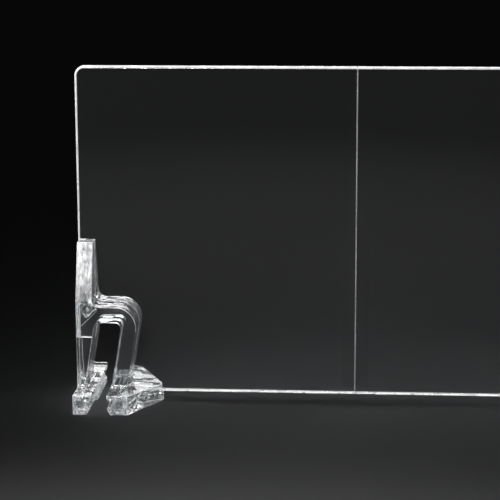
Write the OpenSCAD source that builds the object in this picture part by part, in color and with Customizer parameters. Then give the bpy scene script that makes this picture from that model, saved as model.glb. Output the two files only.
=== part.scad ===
// Desk privacy panel: two clear sheets joined by a film fold, each clamped at its
// outer bottom corner between the two halves of a clear bracket with a leaning slot.
// Origin: on the desk, under the middle of the fold. +X along the panel, +Y to its
// back, +Z up. Millimetres.

/* [Panel] */
// Overall width of the two sheets when flat
panel_w = 504; // [400:4:800]
// Height of the sheets
panel_h = 300; // [220:5:450]
// Thickness of a sheet, whose outer edges are rounded to a half circle
sheet_t = 6; // [4:0.5:8]
// Radius of the outer top corners
corner_r = 9.5; // [6:0.5:20]
// Height of the sheets' bottom edge above the desk
panel_lift = 9; // [7:0.5:12]

/* [Fold] */
// Gap between the two butted edges
fold_gap = 0.4; // [0.2:0.1:1]
// Width of the hinge film on each sheet
film_w = 12; // [8:1:20]
// Thickness of the hinge film
film_t = 0.25; // [0.2:0.05:0.5]
// Distance from the film's ends to the sheet's top and bottom edges
film_inset = 6; // [4:1:20]

/* [Bracket] */
// Height of the post's top above the desk
bracket_h = 150; // [125:1:200]
// Height of the shoulder's top above the desk
shoulder_h = 93; // [88:1:110]
// Width of the post
post_w = 14.5; // [13.5:0.5:20]
// Thickness of the arch, front to back
arch_d = 48; // [36:1:64]
// Thickness of the post's top, front to back
post_top_d = 17.2; // [14:0.2:24]
// Height at which the post has widened to the arch's thickness
flare_h = 98.5; // [97:0.5:110]
// Radius of the outer shoulder
shoulder_r = 19; // [10:0.5:24]
// Radius between the post and the shoulder
post_fillet_r = 6.5; // [3:0.5:10]
// Thickness of the inner leg
leg_w = 14; // [10:0.5:20]

/* [Slot] */
// Width of the slot, square to its walls
slot_w = 24; // [16:0.5:28]
// Lean of the slot from upright, in degrees
slot_lean = 9.5; // [0:0.5:12]
// Height of the slot's ceiling above the desk
slot_top = 78.5; // [68:0.5:80]
// Radius of the slot's top corners
slot_corner_r = 5; // [2:0.5:8]
// Distance from the panel's end to the slot's middle, at desk level
slot_base_x = 16; // [15:0.5:24]
// Height at which the sheet ends, between its end and the slot
tongue_h = 61; // [40:1:66]

/* [Feet] */
// Length of a foot, front to back
foot_l = 104; // [84:1:140]
// Height of the feet's top above the desk
foot_top = 18.3; // [16:0.1:24]
// Reach of the outer foot into the slot, at its top
toe_outer = 9.5; // [7:0.5:11]
// Reach of the inner foot into the slot, at its top
toe_inner = 0.8; // [0:0.1:2]
// Reach of the inner foot past its leg, at its top
heel_inner = 3.8; // [2:0.1:6]
// Depth of the grip groove in the outer foot
groove_depth_outer = 5; // [3:0.1:5]
// Depth of the grip groove in the inner foot
groove_depth_inner = 3.2; // [2:0.1:5]
// Set-back of the groove's lower lip in the outer foot
lip_back_outer = 1.1; // [0:0.1:2]
// Set-back of the groove's lower lip in the inner foot
lip_back_inner = 0.2; // [0:0.1:2]
// Width of the bevel under the lower lip
foot_bevel = 3; // [2:0.1:4]
// Height of the groove's deepest line in the outer foot
groove_z_outer = 10.4; // [9:0.1:12]
// Height of the groove's deepest line in the inner foot
groove_z_inner = 12.4; // [10:0.1:13]
// Height of the groove's lower lip
lip_z = 5.9; // [5:0.1:7]
// Reach of the gusset past the inner foot
gusset_reach = 27.3; // [16:0.1:36]
// Height of the gusset's tip
gusset_tip_h = 16.2; // [13:0.1:18]
// Height of the end lip that stands on the back of the outer foot
end_lip_h = 2.5; // [1:0.1:4]
// Thickness of the end lip
end_lip_t = 2; // [1.2:0.1:4]
// Radius between a leg and its foot
leg_fillet_r = 3.2; // [2:0.1:5]

/* [Grip pad] */
// Reach of the grip pad out of the outer foot's groove
grip_reach = 3.6; // [1:0.1:4]
// Height of the grip pad's flat face
grip_face_h = 5.6; // [3:0.1:7]

/* [Desk pads] */
// Diameter of a desk pad
pad_d = 9; // [6:0.5:10]
// Thickness of a desk pad
pad_t = 1.6; // [1:0.1:2.5]
// Depth of the recess that a desk pad is bonded in
pad_recess = 0.8; // [0.4:0.1:1]
// Distance from a foot's end to the middle of its desk pad
pad_inset = 14; // [10:1:30]

/* [Screws] */
// Diameter of the clamp screw's shank
clamp_d = 5; // [4:0.5:6]
// Diameter of the clamp screw's head
clamp_head_d = 8.5; // [7:0.5:9]
// Height of the clamp screw's head
clamp_head_h = 5; // [3:0.5:6]
// Height of the clamp screw's nut
clamp_nut_h = 4; // [3:0.5:6]
// Distance from the panel's end to the clamp screw
clamp_x = 10.5; // [9:0.5:11]
// Height of the clamp screw above the desk
clamp_z = 91; // [89:0.5:92]
// Diameter of the tie screws' shank
tie_d = 4; // [3:0.5:4]
// Diameter of the tie screws' head
tie_head_d = 7; // [6:0.5:7.5]
// Height of the tie screws' head
tie_head_h = 3.5; // [2:0.5:5]
// Height of the tie screws' nut
tie_nut_h = 3.2; // [2:0.2:5]
// Diameter of the outer foot's end cap
cap_d_outer = 8.8; // [8.4:0.1:9]
// Diameter of the inner foot's end cap
cap_d_inner = 11.6; // [9:0.1:12]
// Thickness of an end cap
cap_t = 2; // [1.5:0.1:3]
// Depth of the bore behind an end cap's outer face
cap_bore = 7; // [6.5:0.5:12]

/* [Fits] */
// Gap between a sheet and a bracket, on each side
sheet_fit = 0.15; // [0.1:0.05:0.3]
// Gap between the two halves of a bracket
parting_gap = 0.1; // [0.05:0.05:0.3]
// Gap round a screw's shank, on each side
shank_fit = 0.2; // [0.1:0.05:0.4]
// Gap round a screw's head or nut, on each side
head_fit = 0.4; // [0.2:0.05:0.6]
// Gap round an end cap, on each side
cap_fit = 0.1; // [0.05:0.05:0.2]

/* [Hidden] */
$fn = 64;

// Extra length that carries a cut clear of the faces it passes through
over = 1;
// Extra radius with which a round crosses the lines it blends, in place of touching them
blend_over = 0.002;
sheet_w = (panel_w - fold_gap) / 2;
sheet_half = sheet_t / 2;
arch_half = arch_d / 2;
foot_half = foot_l / 2;
foot_base = pad_t - pad_recess;
// How far the legs are carried down into the feet
leg_sink = 1;
// Raised chin round the clamp screw's mouth: the middles of its three round corners,
// as reaches from the screw, their radii and the chin's height
chin_corners = [[[-6.1, -13.2], 1.8], [[4.8, 0.2], 3.6], [[-5.5, 2.6], 3.2]];
chin_rise = 1.2;
// Width across corners of a hexagon, for a width of 1 across its flats
hex_corners = 2 / sqrt(3);
// Sizes of a screw's drive socket and an end cap's dish, as shares of their diameters
socket_share = 0.5;
dish_share = 0.72;
dish_depth = 0.6;

// Level distances from the panel's end to the slot's walls and the inner leg's outside
function slot_mid(z) = slot_base_x + z * tan(slot_lean);
function slot_left(z) = slot_mid(z) - slot_w / 2 / cos(slot_lean);
function slot_right(z) = slot_mid(z) + slot_w / 2 / cos(slot_lean);
function leg_outside(z) = slot_right(z) + leg_w / cos(slot_lean);

outer_foot_w = slot_left(foot_top) + toe_outer;
inner_foot_x = slot_right(foot_top) - toe_inner;
inner_foot_end = leg_outside(foot_top) + heel_inner;
inner_foot_w = inner_foot_end - inner_foot_x;
gusset_tip_x = inner_foot_end + gusset_reach;
shoulder_z = shoulder_h - shoulder_r;
shoulder_x = leg_outside(shoulder_z) - shoulder_r / cos(slot_lean);
// Middles of the tie screws: half way between a foot's outside and its groove
tie_z = (foot_top + foot_base) / 2;
tie_x_outer = (outer_foot_w - groove_depth_outer) / 2;
tie_x_inner = inner_foot_end - (inner_foot_w - groove_depth_inner) / 2;
ties = [[tie_x_outer, cap_d_outer], [tie_x_inner, cap_d_inner]];

// Lays a flat shape, drawn as distance from the panel's end and height, from y0 to y1
module upright(y0, y1) {
    translate([0, y1, 0])
        rotate([90, 0, 0])
            linear_extrude(y1 - y0)
                children();
}

// A cylinder front to back, from y0 to y1
module across(x, z, d, y0, y1) {
    translate([x, y1, z])
        rotate([90, 0, 0])
            cylinder(d = d, h = y1 - y0);
}

// A hexagonal prism front to back, from y0 to y1
module hex_across(x, z, flats, y0, y1) {
    translate([x, y1, z])
        rotate([90, 30, 0])
            cylinder(d = flats * hex_corners, h = y1 - y0, $fn = 6);
}

// Puts what is drawn from the left end of the panel at its left or right end
module at_left() {
    translate([-panel_w / 2, 0, 0])
        children();
}

module at_right() {
    mirror([1, 0, 0])
        at_left()
            children();
}

module rear() {
    mirror([0, 1, 0])
        children();
}

// The slot's outline, from height z0 up
module slot_2d(z0) {
    corner_z = slot_top - slot_corner_r;
    side = slot_corner_r * cos(slot_lean);
    drop = slot_corner_r * sin(slot_lean);
    left_x = slot_left(corner_z) + slot_corner_r / cos(slot_lean);
    right_x = slot_right(corner_z) - slot_corner_r / cos(slot_lean);
    polygon([
        [slot_left(z0), z0],
        [slot_right(z0), z0],
        [right_x + side, corner_z - drop],
        [right_x, slot_top],
        [left_x, slot_top],
        [left_x - side, corner_z + drop]
    ]);
    translate([left_x, corner_z])
        circle(r = slot_corner_r + blend_over);
    translate([right_x, corner_z])
        circle(r = slot_corner_r + blend_over);
}

// The arch's outline: outer leg and post, shoulder and inner leg
module arch_2d() {
    z0 = foot_top - leg_sink;
    difference() {
        union() {
            square_from([0, z0], [post_w, bracket_h]);
            polygon([
                [0, z0],
                [leg_outside(z0), z0],
                [shoulder_x + shoulder_r * cos(slot_lean), shoulder_z - shoulder_r * sin(slot_lean)],
                [shoulder_x, shoulder_h],
                [0, shoulder_h]
            ]);
            translate([shoulder_x, shoulder_z])
                circle(r = shoulder_r + blend_over);
            translate([post_w, shoulder_h])
                corner_fillet_2d(post_fillet_r);
        }
        slot_2d(z0 - over);
    }
    outer_leg_fillet_2d();
}

module square_from(low, high) {
    translate(low)
        square(high - low);
}

// Material left in the corner at the origin by a round of radius r
module corner_fillet_2d(r) {
    difference() {
        square(r);
        translate([r, r])
            circle(r = r);
    }
}

// Round between the slot's outer wall and the top of the outer foot
module outer_leg_fillet_2d() {
    mid_z = foot_top + leg_fillet_r;
    mid_x = slot_left(mid_z) + leg_fillet_r / cos(slot_lean);
    low_z = foot_top - leg_sink;
    reach = leg_fillet_r + over;
    difference() {
        polygon([
            [slot_left(low_z) - over, low_z],
            [mid_x, low_z],
            [mid_x, mid_z],
            [mid_x - reach * cos(slot_lean), mid_z + reach * sin(slot_lean)]
        ]);
        translate([mid_x, mid_z])
            circle(r = leg_fillet_r + blend_over);
    }
}

// Height of the upright land above a groove whose deepest line is at z
function land_z(z) = (z + foot_top) / 2;

// A foot's section: its plain side at 0, its grooved side at w
module foot_2d(w, groove_z, groove_depth, lip_back) {
    polygon([
        [0, foot_base],
        [w - lip_back - foot_bevel, foot_base],
        [w - lip_back, lip_z],
        [w - groove_depth, groove_z],
        [w, land_z(groove_z)],
        [w, foot_top],
        [0, foot_top]
    ]);
}

// A post that widens from its top down to the arch's thickness, seen from its side
module flare() {
    rotate([90, 0, 90])
        linear_extrude(gusset_tip_x)
            polygon([
                [0, 0],
                [-arch_half, 0],
                [-arch_half, flare_h],
                [-post_top_d / 2, bracket_h],
                [0, bracket_h]
            ]);
}

// Round between a leg's front and the top of its foot, from x0 to x1
module leg_front_fillet(x0, x1) {
    translate([x0, -arch_half, foot_top])
        mirror([0, 1, 0])
            rotate([90, 0, 90])
                linear_extrude(x1 - x0)
                    corner_fillet_2d(leg_fillet_r);
}

// Angle of the outward normal on the line that wraps two circles, given as [middle, r]
function wrap_angle(a, b) =
    atan2(b[0][1] - a[0][1], b[0][0] - a[0][0]) - acos((a[1] - b[1]) / norm(b[0] - a[0]));

// A rounded outline wrapped round circles, given as [middle, r] in anticlockwise order
module wrapped_2d(circles) {
    count = len(circles);
    polygon([
        for (i = [0:count - 1])
            let(turn = wrap_angle(circles[i], circles[(i + 1) % count]))
                for (end = [circles[i], circles[(i + 1) % count]])
                    end[0] + end[1] * [cos(turn), sin(turn)]
    ]);
    for (end = circles)
        translate(end[0])
            circle(r = end[1] + blend_over);
}

// Gusset on the inner foot, whose top falls to its tip under the sheet
module gusset() {
    intersection() {
        linear_extrude(foot_top)
            polygon([
                [inner_foot_end - over, 0],
                [inner_foot_end - over, -foot_half],
                [inner_foot_end, -foot_half],
                [gusset_tip_x, 0]
            ]);
        upright(-foot_half, 0)
            polygon([
                [inner_foot_end - over, foot_base],
                [gusset_tip_x, foot_base],
                [gusset_tip_x, gusset_tip_h],
                [inner_foot_end, foot_top],
                [inner_foot_end - over, foot_top]
            ]);
    }
}

// Space that the sheet takes out of both halves, with its clearance
module sheet_channel() {
    upright(-sheet_half - sheet_fit, over) {
        square_from([-over, tongue_h - sheet_fit], [slot_mid(slot_top), bracket_h + over]);
        square_from([slot_mid(0), panel_lift - sheet_fit], [gusset_tip_x + over, bracket_h + over]);
    }
}

// Bores for the clamp screw, the tie screws and their heads, nuts and caps
module screw_bores() {
    across(clamp_x, clamp_z, clamp_d + 2 * shank_fit, -arch_half, over);
    across(clamp_x, clamp_z, clamp_head_d + 2 * head_fit, -arch_half - chin_rise - over,
        -arch_half + clamp_head_h);
    for (tie = ties) {
        across(tie[0], tie_z, tie_d + 2 * shank_fit, -foot_half, over);
        across(tie[0], tie_z, tie[1] + 2 * cap_fit, -foot_half - over, -foot_half + cap_bore);
    }
}

module pad_places() {
    for (x = [tie_x_outer, tie_x_inner])
        translate([x, -foot_half + pad_inset, 0])
            children();
}

// One half of a bracket. The rear half is the same with a lip on its outer foot's end.
module bracket_half() {
    difference() {
        union() {
            intersection() {
                upright(-arch_half, -parting_gap / 2)
                    arch_2d();
                flare();
            }
            upright(-foot_half, -parting_gap / 2)
                foot_2d(outer_foot_w, groove_z_outer, groove_depth_outer, lip_back_outer);
            translate([inner_foot_end, 0, 0])
                mirror([1, 0, 0])
                    upright(-foot_half, -parting_gap / 2)
                        foot_2d(inner_foot_w, groove_z_inner, groove_depth_inner, lip_back_inner);
            difference() {
                gusset();
                translate([0, -parting_gap / 2, 0])
                    cube([2 * gusset_tip_x, over, foot_top]);
            }
            leg_front_fillet(0, slot_left(foot_top));
            leg_front_fillet(slot_right(foot_top), leg_outside(foot_top));
            upright(-arch_half - chin_rise, -arch_half)
                translate([clamp_x, clamp_z])
                    wrapped_2d(chin_corners);
        }
        sheet_channel();
        screw_bores();
        pad_places()
            cylinder(d = pad_d, h = pad_t);
    }
}

module bracket_front() {
    color("aliceblue", 0.4)
        bracket_half();
}

module bracket_rear() {
    color("lightcyan", 0.4)
        rear() {
            bracket_half();
            end_lip();
        }
}

module end_lip() {
    translate([0, -foot_half, foot_top - leg_sink])
        cube([outer_foot_w, end_lip_t, end_lip_h + leg_sink]);
}

// Outline of a sheet's flat faces, whose rounded edges lie half a thickness outside it
module sheet_face_2d() {
    low = [sheet_half, panel_lift + sheet_half];
    high = [sheet_w, panel_lift + panel_h - sheet_half];
    turn = corner_r - sheet_half;
    square_from([low[0] + turn, low[1]], high);
    square_from(low, [high[0], high[1] - turn]);
    translate([low[0] + turn, high[1] - turn])
        circle(r = turn);
}

// Half-round edges along the bottom, the outer end and the top, and round the corner
module sheet_edges() {
    low_z = panel_lift + sheet_half;
    turn_z = panel_lift + panel_h - corner_r;
    top_z = panel_lift + panel_h - sheet_half;
    translate([sheet_half, 0, low_z])
        rotate([0, 90, 0])
            cylinder(d = sheet_t, h = sheet_w - sheet_half);
    translate([corner_r, 0, top_z])
        rotate([0, 90, 0])
            cylinder(d = sheet_t, h = sheet_w - corner_r);
    translate([sheet_half, 0, low_z])
        cylinder(d = sheet_t, h = turn_z - low_z);
    translate([corner_r, 0, turn_z])
        rotate([90, 0, 0])
            rotate([0, 0, 90])
                rotate_extrude(angle = 90)
                    translate([corner_r - sheet_half, 0])
                        circle(d = sheet_t);
}

// One sheet, notched round the slot and over the inner tie screw, with its end cut off
// part way down the outer leg
module sheet() {
    color("gainsboro", 0.3)
        difference() {
            union() {
                upright(-sheet_half, sheet_half)
                    sheet_face_2d();
                sheet_edges();
            }
            upright(-sheet_t, sheet_t) {
                slot_2d(0);
                square_from([-over, 0], [slot_mid(tongue_h), tongue_h]);
            }
            across(clamp_x, clamp_z, clamp_d + 2 * shank_fit, -sheet_t, sheet_t);
            across(tie_x_inner, tie_z, tie_d + 2 * shank_fit, -sheet_t, sheet_t);
        }
}

// Film bonded to the back of one sheet, up to the fold line
module hinge_film() {
    color("white", 0.5)
        translate([panel_w / 2 - film_w, sheet_half, panel_lift + film_inset])
            cube([film_w, film_t, panel_h - 2 * film_inset]);
}

// Soft pad bonded in the outer foot's groove, under the arch
module grip_pad() {
    face_x = outer_foot_w + grip_reach;
    face_z = (lip_z + foot_top) / 2;
    color("honeydew", 0.6)
        upright(-arch_half, arch_half)
            polygon([
                [outer_foot_w - groove_depth_outer, groove_z_outer],
                [outer_foot_w - lip_back_outer, lip_z],
                [outer_foot_w + grip_reach / 3, lip_z],
                [face_x, face_z - grip_face_h / 2],
                [face_x, face_z + grip_face_h / 2],
                [outer_foot_w + grip_reach / 3, foot_top],
                [outer_foot_w, foot_top],
                [outer_foot_w, land_z(groove_z_outer)]
            ]);
}

// Four round pads under the feet of one bracket
module desk_pads() {
    color("silver", 0.7) {
        pad_places()
            cylinder(d = pad_d, h = pad_t);
        rear()
            pad_places()
                cylinder(d = pad_d, h = pad_t);
    }
}

// Screw front to back: its head's outer face at y0, its shank's end at y1
module screw(x, z, d, head_d, head_h, y0, y1) {
    difference() {
        union() {
            across(x, z, head_d, y0, y0 + head_h);
            across(x, z, d, y0, y1);
        }
        hex_across(x, z, head_d * socket_share, y0 - over, y0 + head_h * socket_share);
    }
}

// Hexagonal nut on a screw's shank, its inner face at y0
module nut(x, z, d, flats, h, y0) {
    difference() {
        hex_across(x, z, flats, y0, y0 + h);
        across(x, z, d, y0 - over, y0 + h + over);
    }
}

module clamp_screw() {
    seat = arch_half - clamp_head_h;
    color("ghostwhite", 0.6)
        screw(clamp_x, clamp_z, clamp_d, clamp_head_d, clamp_head_h, -arch_half, seat + clamp_nut_h);
}

module clamp_nut() {
    seat = arch_half - clamp_head_h;
    color("lavender", 0.7)
        nut(clamp_x, clamp_z, clamp_d, clamp_head_d / hex_corners, clamp_nut_h, seat);
}

module tie_screws() {
    seat = foot_half - cap_bore;
    color("ghostwhite", 0.6)
        for (tie = ties)
            screw(tie[0], tie_z, tie_d, tie_head_d, tie_head_h, -seat - tie_head_h, seat + tie_nut_h);
}

module tie_nuts() {
    seat = foot_half - cap_bore;
    color("lavender", 0.7)
        for (tie = ties)
            nut(tie[0], tie_z, tie_d, tie_head_d, tie_nut_h, seat);
}

// Round cap with a dished face, in the mouth of a tie screw's bore
module end_cap(x, d) {
    difference() {
        across(x, tie_z, d, -foot_half, -foot_half + cap_t);
        across(x, tie_z, d * dish_share, -foot_half - over, -foot_half + dish_depth);
    }
}

module end_caps() {
    color("azure", 0.6)
        for (tie = ties) {
            end_cap(tie[0], tie[1]);
            rear()
                end_cap(tie[0], tie[1]);
        }
}

at_left() sheet();  // sheet_left
at_right() sheet();  // sheet_right
at_left() hinge_film();  // hinge_film_left
at_right() hinge_film();  // hinge_film_right
at_left() bracket_front();  // bracket_front_left
at_left() bracket_rear();  // bracket_rear_left
at_right() bracket_front();  // bracket_front_right
at_right() bracket_rear();  // bracket_rear_right
at_left() grip_pad();  // grip_pad_left
at_right() grip_pad();  // grip_pad_right
at_left() desk_pads();  // desk_pads_left
at_right() desk_pads();  // desk_pads_right
at_left() clamp_screw();  // clamp_screw_left
at_right() clamp_screw();  // clamp_screw_right
at_left() clamp_nut();  // clamp_nut_left
at_right() clamp_nut();  // clamp_nut_right
at_left() tie_screws();  // tie_screws_left
at_right() tie_screws();  // tie_screws_right
at_left() tie_nuts();  // tie_nuts_left
at_right() tie_nuts();  // tie_nuts_right
at_left() end_caps();  // end_caps_left
at_right() end_caps();  // end_caps_right
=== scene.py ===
"""Desk privacy panel: two clear sheets on a film fold, each clamped in a clear bracket.

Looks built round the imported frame. Lengths are in metres. +X runs along the panel, +Y to its
back and +Z up, with the origin on the desk under the middle of the fold.
"""
import logging
import math
from dataclasses import dataclass
from enum import Enum
from functools import partial
from typing import Any, Callable, ClassVar

import bmesh
import bpy
from mathutils import Matrix, Vector
from mathutils.geometry import intersect_point_line


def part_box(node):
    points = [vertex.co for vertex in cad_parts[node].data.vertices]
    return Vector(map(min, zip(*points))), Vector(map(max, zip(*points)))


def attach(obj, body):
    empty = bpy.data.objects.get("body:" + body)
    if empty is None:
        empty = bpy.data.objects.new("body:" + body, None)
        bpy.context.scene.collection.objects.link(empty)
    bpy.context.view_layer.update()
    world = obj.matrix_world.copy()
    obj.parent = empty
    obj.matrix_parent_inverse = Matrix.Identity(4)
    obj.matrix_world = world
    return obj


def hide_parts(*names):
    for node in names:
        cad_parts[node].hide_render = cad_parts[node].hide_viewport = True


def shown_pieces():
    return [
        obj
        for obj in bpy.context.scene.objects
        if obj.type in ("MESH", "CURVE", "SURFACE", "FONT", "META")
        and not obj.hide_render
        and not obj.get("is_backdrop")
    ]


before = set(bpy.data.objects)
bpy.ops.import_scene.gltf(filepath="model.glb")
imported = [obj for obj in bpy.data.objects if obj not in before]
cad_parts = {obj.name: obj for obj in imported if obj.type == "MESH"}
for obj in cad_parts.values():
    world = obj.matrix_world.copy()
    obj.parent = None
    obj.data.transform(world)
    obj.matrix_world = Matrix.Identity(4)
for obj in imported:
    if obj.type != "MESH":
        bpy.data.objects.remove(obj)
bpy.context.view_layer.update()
LOG = logging.getLogger("privacy_panel")
MM = 0.001
# Two faces that meet more sharply than this are taken as folded over each other.
FOLDED = math.radians(150)
# Most of a noise texture's values lie between these.
NOISE_LOW, NOISE_HIGH = 0.35, 0.65
# A turned or moulded part's edges stay sharp where its faces meet at more than this.
CRISP = math.radians(35)
# A screw's shank starts this share of the head's height below the head's outer face.
SHANK_START = 0.8
Box = tuple[Vector, Vector]
Feed = bpy.types.Node | bpy.types.NodeSocket | float


class Side(Enum):
    """The end of the panel that a bracket holds."""

    LEFT = "left"
    RIGHT = "right"

    @property
    def body(self) -> str:
        """Name of the CAD body that this side's pieces ride on."""
        return f"{self.value}_wing"


class Half(Enum):
    """The half of a bracket, in front of the sheet or behind it."""

    FRONT = "front"
    REAR = "rear"


class Skin(Enum):
    """How the tool leaves a bracket's face: the place of its finish in the material slots."""

    POLISHED = 0
    BROKEN_EDGE = 1
    SIDE = 2
    FROSTED = 3
    FLOW_MARKED = 4
    GROUND = 5


class Facing(Enum):
    """The way a repeated part's outer face looks, as the turns that lay it so from +Z."""

    FRONT = (math.pi / 2, 0.0, 0.0)
    BACK = (math.pi / 2, 0.0, math.pi)
    DOWN = (math.pi, 0.0, 0.0)


def linear(colour: str) -> tuple[float, float, float, float]:
    """Turns an sRGB hex colour into Blender's linear colour.

    Args:
        colour: A colour such as "#F2F4F5".

    Returns:
        Linear red, green and blue, and an alpha of 1.
    """
    parts = [int(colour[i : i + 2], 16) / 255 for i in (1, 3, 5)]
    red, green, blue = (
        c / 12.92 if c <= 0.04045 else ((c + 0.055) / 1.055) ** 2.4 for c in parts
    )
    return red, green, blue, 1.0


def add_node(
    tree: bpy.types.NodeTree,
    kind: str,
    settings: dict[str, Any] | str | None = None,
    links: dict[str | int, Any] | None = None,
) -> bpy.types.Node:
    """Adds a node to a tree with its settings and links.

    Args:
        tree: The shader or geometry tree.
        kind: The node's type name.
        settings: Values of the node's own properties, or its operation alone.
        links: For each input, its plain value, the output that feeds it, or the node whose
            first output feeds it. A list holds the feeds of an input that takes several.

    Returns:
        The new node.
    """
    node = tree.nodes.new(kind)
    if isinstance(settings, str):
        settings = {"operation": settings}
    for name, value in (settings or {}).items():
        setattr(node, name, value)
    for name, value in (links or {}).items():
        socket = node.inputs[name]
        for feed in value if isinstance(value, list) else [value]:
            if isinstance(feed, bpy.types.Node):
                feed = feed.outputs[0]
            if isinstance(feed, bpy.types.NodeSocket):
                tree.links.new(feed, socket)
            else:
                socket.default_value = feed
    return node


# ---- finishes


@dataclass(frozen=True)
class Stray:
    """A value that strays over a surface.

    Attributes:
        mean: Its mean.
        spread: How far it strays either way.
    """

    mean: float
    spread: float = 0.0


@dataclass(frozen=True)
class ClearPlastic:
    """A clear or translucent plastic, by what it is made of and how its surface was made.

    Attributes:
        name: Real material and process.
        clarity: Share of light that goes through, the rest being a milky veil.
        roughness: Roughness of the surface.
        mottle_mm: Size of the patches in which the clarity and the roughness stray.
        ripple_mm: Spacing of the surface's ripple.
        ripple_depth_mm: Height of the ripple.
        colour: Tint of the plastic.
        ior: Index of refraction, which is acrylic's where none is given.
        shade: Colour of the light that the piece lets through to what is behind it.
        stretch: How many times longer than wide the patches are, up and down.
        frost_mm: Heights above the desk between which a frost sets in, or None where it is even.
        foot_clarity: Share of light that goes through below a frost.
    """

    name: str
    clarity: Stray
    roughness: Stray
    mottle_mm: float
    ripple_mm: float
    ripple_depth_mm: float
    colour: str = "#F6F7F8"
    ior: float = 1.49
    shade: str = "#D2D3D4"
    stretch: float = 1.0
    frost_mm: tuple[float, float] | None = None
    foot_clarity: float = 0.9

    def material(self) -> bpy.types.Material:
        """Returns the finish's material, made the first time it is asked for."""
        known = bpy.data.materials.get(self.name)
        return known or self.build()

    def build(self) -> bpy.types.Material:
        """Makes the material.

        Returns:
            A material whose surface passes lamp light on in its shade's colour.
        """
        made = bpy.data.materials.new(self.name)
        made.use_nodes = True
        tree = made.node_tree
        tree.nodes.clear()
        add = partial(add_node, tree)
        coordinates = add("ShaderNodeTexCoord").outputs["Object"]
        upright = (1.0, 1.0, 1 / self.stretch)
        place = add("ShaderNodeMapping", links={"Vector": coordinates, "Scale": upright})
        ripple = add(
            "ShaderNodeTexNoise",
            links={"Vector": place, "Scale": 1 / (self.ripple_mm * MM), "Detail": 0.0},
        )
        relief = add(
            "ShaderNodeBump", links={"Height": ripple, "Distance": self.ripple_depth_mm * MM}
        )
        plastic = add(
            "ShaderNodeBsdfPrincipled",
            links={
                "Base Color": linear(self.colour),
                "IOR": self.ior,
                "Transmission Weight": self.clear_share(tree, place),
                "Roughness": self.mottle(tree, place, 0, self.roughness),
                "Normal": relief,
            },
        )
        passed = add("ShaderNodeBsdfTransparent", links={"Color": linear(self.shade)})
        in_shadow = add("ShaderNodeLightPath").outputs["Is Shadow Ray"]
        mixed = add("ShaderNodeMixShader", links={0: in_shadow, 1: plastic, 2: passed})
        add("ShaderNodeOutputMaterial", links={"Surface": mixed})
        return made

    def clear_share(self, tree: bpy.types.NodeTree, place: bpy.types.Node) -> Feed:
        """Adds the clarity's patches, and the fading of a frost towards its foot.

        Args:
            tree: The material's tree.
            place: Gives the stretched object coordinates.

        Returns:
            The share of light that goes through at each point.
        """
        if not self.clarity.spread:
            return self.clarity.mean
        veil = self.mottle(tree, place, "Color", self.clarity)
        if not self.frost_mm:
            return veil
        add = partial(add_node, tree)
        coordinates = add("ShaderNodeTexCoord").outputs["Object"]
        height = add("ShaderNodeSeparateXYZ", links={0: coordinates}).outputs[2]
        low, high = self.frost_mm
        fade = add(
            "ShaderNodeMapRange",
            {"interpolation_type": "SMOOTHSTEP"},
            {"Value": height, "From Min": low * MM, "From Max": high * MM},
        )
        return add("ShaderNodeMix", links={0: fade, 2: self.foot_clarity, 3: veil})

    def mottle(
        self, tree: bpy.types.NodeTree, place: bpy.types.Node, channel: int | str, value: Stray
    ) -> bpy.types.Node:
        """Adds the patches in which a value strays from its mean.

        Args:
            tree: The material's tree.
            place: Gives the stretched object coordinates.
            channel: The output of the noise that is used.
            value: The value.

        Returns:
            The node that gives the value at each point.
        """
        patches = add_node(
            tree,
            "ShaderNodeTexNoise",
            links={"Vector": place, "Scale": 1 / (self.mottle_mm * MM), "Detail": 3.0},
        )
        return add_node(
            tree,
            "ShaderNodeMapRange",
            links={
                "Value": patches.outputs[channel],
                "From Min": NOISE_LOW,
                "From Max": NOISE_HIGH,
                "To Min": value.mean - value.spread,
                "To Max": value.mean + value.spread,
            },
        )


# Cast acrylic sheet: optically flat faces with the faintest waviness, and a thin veil of dust
# and film residue that lifts them off a dark background.
CAST_ACRYLIC = ClearPlastic(
    name="cast_acrylic_polished",
    clarity=Stray(0.993),
    roughness=Stray(0.012, 0.008),
    mottle_mm=60.0,
    ripple_mm=45.0,
    ripple_depth_mm=0.01,
    colour="#F4F6F7",
    shade="#F0F1F2",
)
# The cast sheet's routed edge, sanded and buffed to a satin round: it scatters the light that
# the sheet pipes to it, so it shows as a bright line.
SATIN_EDGE = ClearPlastic(
    name="cast_acrylic_buffed_edge",
    clarity=Stray(0.6, 0.15),
    roughness=Stray(0.3, 0.08),
    mottle_mm=14.0,
    ripple_mm=6.0,
    ripple_depth_mm=0.004,
    shade="#D6D7D8",
)
# Injection-moulded acrylic: glossy off a polished tool, with slow flow ripples.
MOULDED_ACRYLIC = ClearPlastic(
    name="acrylic_injection_moulded",
    clarity=Stray(0.99),
    roughness=Stray(0.03, 0.025),
    mottle_mm=9.0,
    ripple_mm=7.0,
    ripple_depth_mm=0.05,
    colour="#F3F5F6",
    shade="#DFE1E2",
)
# Moulded sides, off a lightly stoned tool: glossy with broad ripples, which break the light
# from above into bright and dark bands. The ripple is drawn deeper than a real one, to show.
MOULDED_SIDE = ClearPlastic(
    name="acrylic_moulded_side",
    clarity=Stray(0.98, 0.02),
    roughness=Stray(0.1, 0.08),
    mottle_mm=3.5,
    ripple_mm=8.0,
    ripple_depth_mm=0.6,
)
# The feet's thick sides and tops and the slot's roof, where the plastic shrank as it set: glossy
# flow marks, with bright streaks between clear dark ones. They are drawn broader and deeper
# than real ones, to show.
FLOW_MARKED = ClearPlastic(
    name="acrylic_moulded_flow_marked",
    clarity=Stray(0.98, 0.02),
    roughness=Stray(0.025, 0.02),
    mottle_mm=5.5,
    ripple_mm=12.0,
    ripple_depth_mm=1.0,
    colour="#F8F9FA",
)
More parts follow.
